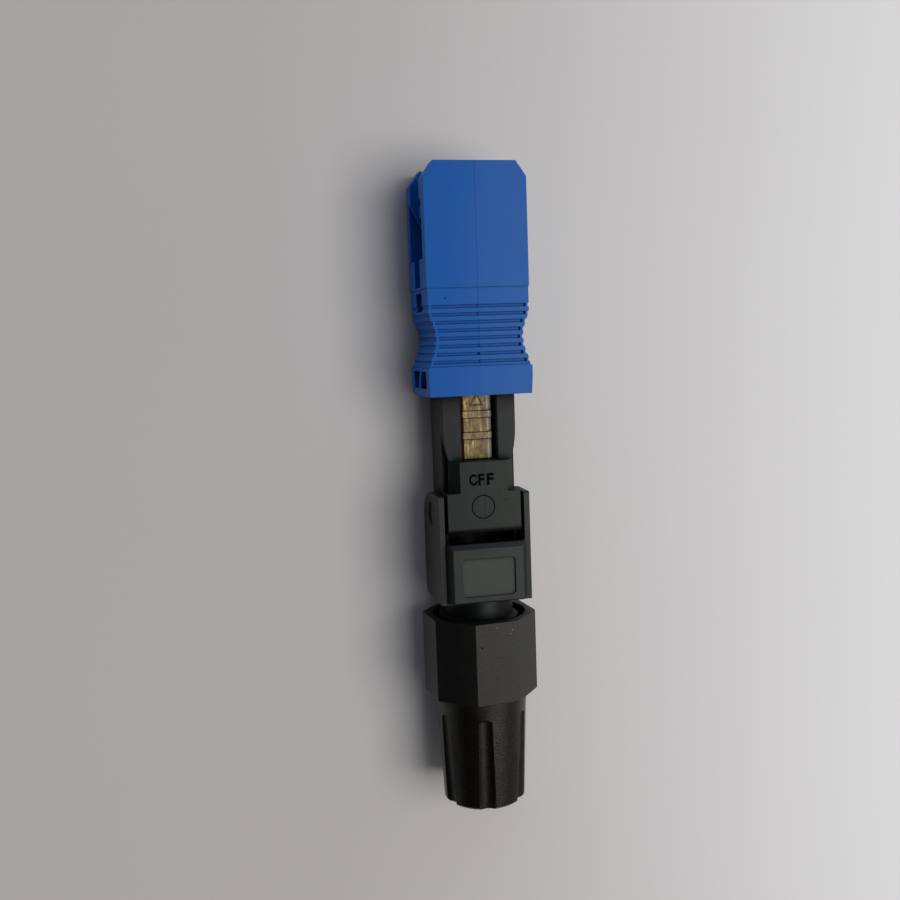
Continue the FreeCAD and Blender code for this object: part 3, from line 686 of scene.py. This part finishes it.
def makeRingMark(look, topMm):
    # a 1 mm square, narrowed to the line's section, stood up and spun round
    build = bmesh.new()
    x, y = look["centreMm"]
    upright = Matrix.Rotation(math.radians(90), 3, "X")
    bmesh.ops.create_grid(build, x_segments=1, y_segments=1, size=0.5 * mm)
    bmesh.ops.scale(build, verts=build.verts, vec=(look["widthMm"], 2 * look["riseMm"], 1))
    bmesh.ops.rotate(build, verts=build.verts, cent=(0, 0, 0), matrix=upright)
    bmesh.ops.translate(build, verts=build.verts, vec=Vector((x + look["radiusMm"], y, topMm)) * mm)
    bmesh.ops.spin(build, geom=build.verts[:] + build.edges[:] + build.faces[:], cent=Vector((x, y, 0)) * mm,
                   axis=(0, 0, 1), angle=math.tau, steps=look["steps"], use_merge=True)
    bmesh.ops.remove_doubles(build, verts=build.verts, dist=look["weldMm"] * mm)
    addPiece("padRingGrooveShade", meshFrom(build, "padRingGrooveShade"), "body_plastic", "connector_body", markInk)


threadLook = {"rootMm": 3.0, "crestMm": 3.58, "rootWidthMm": 0.5, "crestWidthMm": 0.1,
              "frontYMm": -39.35, "pitchMm": 0.62, "turns": 1.9, "stepsPerTurn": 56}


def makeStubThread(look):
    # a tapered ridge wound about the axis, its ends on the underside
    build = bmesh.new()
    root = look["rootWidthMm"] / 2
    crest = look["crestWidthMm"] / 2
    corners = [(look["rootMm"], root), (look["crestMm"], crest),
               (look["crestMm"], -crest), (look["rootMm"], -root)]
    section = [Vector((0, look["frontYMm"] + along, -radius)) * mm for radius, along in corners]
    build.faces.new([build.verts.new(corner) for corner in section])
    steps = int(look["turns"] * look["stepsPerTurn"])
    shift = Vector((0, -look["pitchMm"] / look["stepsPerTurn"], 0)) * mm
    bmesh.ops.spin(build, geom=build.verts[:] + build.edges[:] + build.faces[:], cent=(0, 0, 0),
                   axis=(0, 1, 0), dvec=shift, angle=math.tau * look["turns"], steps=steps)
    addPiece("stubThread", meshFrom(build, "stubThread"), "body_plastic", "connector_body")


blockTopMm = 3.42
makeWordMark(wordMark, blockTopMm)
makeRingMark(padRingShadeLook, blockTopMm)
makeStubThread(threadLook)
print("fine detail made")

floorLook = {
    "halfSizeMm": 1500, "cells": 8, "heightMm": -4.42, "touchYMm": -1.2, "slope": 0.01247,
    "leftColour": paint(186, 183, 180), "rightColour": paint(241, 240, 238), "paintedLightDriftMm": (-25.0, 75.0),
    "cloudPerMm": 0.02, "cloudDetail": 2.0, "cloudRoughness": 0.5, "cloudShare": 0.12,
    "fibrePerMm": 3.0, "fibreDetail": 5.0, "fibreRoughness": 0.7, "fibreStrength": 0.35,
    "fibreDepthMm": 0.03, "roughness": 0.8, "level": 0.2,
}


def makeFloor(look):
    # flat, and tilted a little so that the part lies on it at two places along its length
    build = bmesh.new()
    tilt = Matrix.Rotation(math.atan(look["slope"]), 3, "X")
    cells = look["cells"]
    bmesh.ops.create_grid(build, x_segments=cells, y_segments=cells, size=look["halfSizeMm"] * mm)
    bmesh.ops.rotate(build, verts=build.verts, cent=(0, 0, 0), matrix=tilt)
    drop = look["heightMm"] - look["slope"] * look["touchYMm"]
    bmesh.ops.translate(build, verts=build.verts, vec=(0, 0, drop * mm))
    mesh = bpy.data.meshes.new("floor")
    build.to_mesh(mesh)
    build.free()
    floor = bpy.data.objects.new("floor", mesh)
    bpy.context.collection.objects.link(floor)
    material, tree, shader = newMaterial("palePaper")
    split = addNode(tree, "ShaderNodeSeparateXYZ")
    place = millimetres(tree)
    feed(tree, place, split.inputs[0])
    # painted light: the paper gets paler towards the right, as under the lamp's pool of light
    side = stretch(tree, split.outputs["X"], *look["paintedLightDriftMm"])
    cloud = noise(tree, place, look["cloudPerMm"], look["cloudDetail"], look["cloudRoughness"])
    cloud = maths(tree, "MULTIPLY", maths(tree, "SUBTRACT", cloud, 0.5), look["cloudShare"])
    side = maths(tree, "ADD", side, cloud)
    feed(tree, blendColours(tree, side, look["leftColour"], look["rightColour"]), shader.inputs["Base Color"])
    shader.inputs["Roughness"].default_value = look["roughness"]
    shader.inputs["Specular IOR Level"].default_value = look["level"]
    fibre = noise(tree, place, look["fibrePerMm"], look["fibreDetail"], look["fibreRoughness"])
    feed(tree, bump(tree, fibre, look["fibreStrength"], look["fibreDepthMm"]), shader.inputs["Normal"])
    mesh.materials.append(material)


keyLampLook = {"placeMm": (175, -45, 410), "aimMm": (0, -28, 0), "sizeMm": 320, "radiance": 4.6}


def makeKeyLamp(look):
    data = bpy.data.lights.new("keyLamp", "AREA")
    data.shape = "SQUARE"
    data.size = look["sizeMm"] * mm
    data.energy = look["radiance"] * math.pi * data.size ** 2
    lamp = bpy.data.objects.new("keyLamp", data)
    lamp.location = Vector(look["placeMm"]) * mm
    toward = (Vector(look["aimMm"]) - Vector(look["placeMm"])).normalized()
    lamp.rotation_euler = toward.to_track_quat("-Z", "Y").to_euler()
    bpy.context.collection.objects.link(lamp)


worldLook = {"leftColour": (0.02, 0.025, 0.036, 1), "rightColour": (0.3, 0.27, 0.24, 1),
             "frontColour": (0.8, 0.92, 1.25, 1), "sideSpan": (-0.9, 0.7), "frontSpan": (0.45, 0.95)}


def makeWorld(look):
    # a dim room: darker to the left, with a cool window beyond the mating end
    world = bpy.data.worlds.new("studioWorld")
    world.use_nodes = True
    tree = world.node_tree
    tree.nodes.clear()
    place = addNode(tree, "ShaderNodeTexCoord")
    split = addNode(tree, "ShaderNodeSeparateXYZ")
    back = addNode(tree, "ShaderNodeBackground")
    output = addNode(tree, "ShaderNodeOutputWorld")
    tree.links.new(place.outputs["Generated"], split.inputs[0])
    side = stretch(tree, split.outputs["X"], *look["sideSpan"])
    front = stretch(tree, split.outputs["Y"], *look["frontSpan"])
    colour = blendColours(tree, side, look["leftColour"], look["rightColour"])
    colour = blendColours(tree, front, colour, look["frontColour"])
    feed(tree, colour, back.inputs["Color"])
    tree.links.new(back.outputs[0], output.inputs["Surface"])
    bpy.context.scene.world = world


makeFloor(floorLook)
makeKeyLamp(keyLampLook)
makeWorld(worldLook)
bpy.context.scene.view_settings.view_transform = "Standard"
print("studio made")
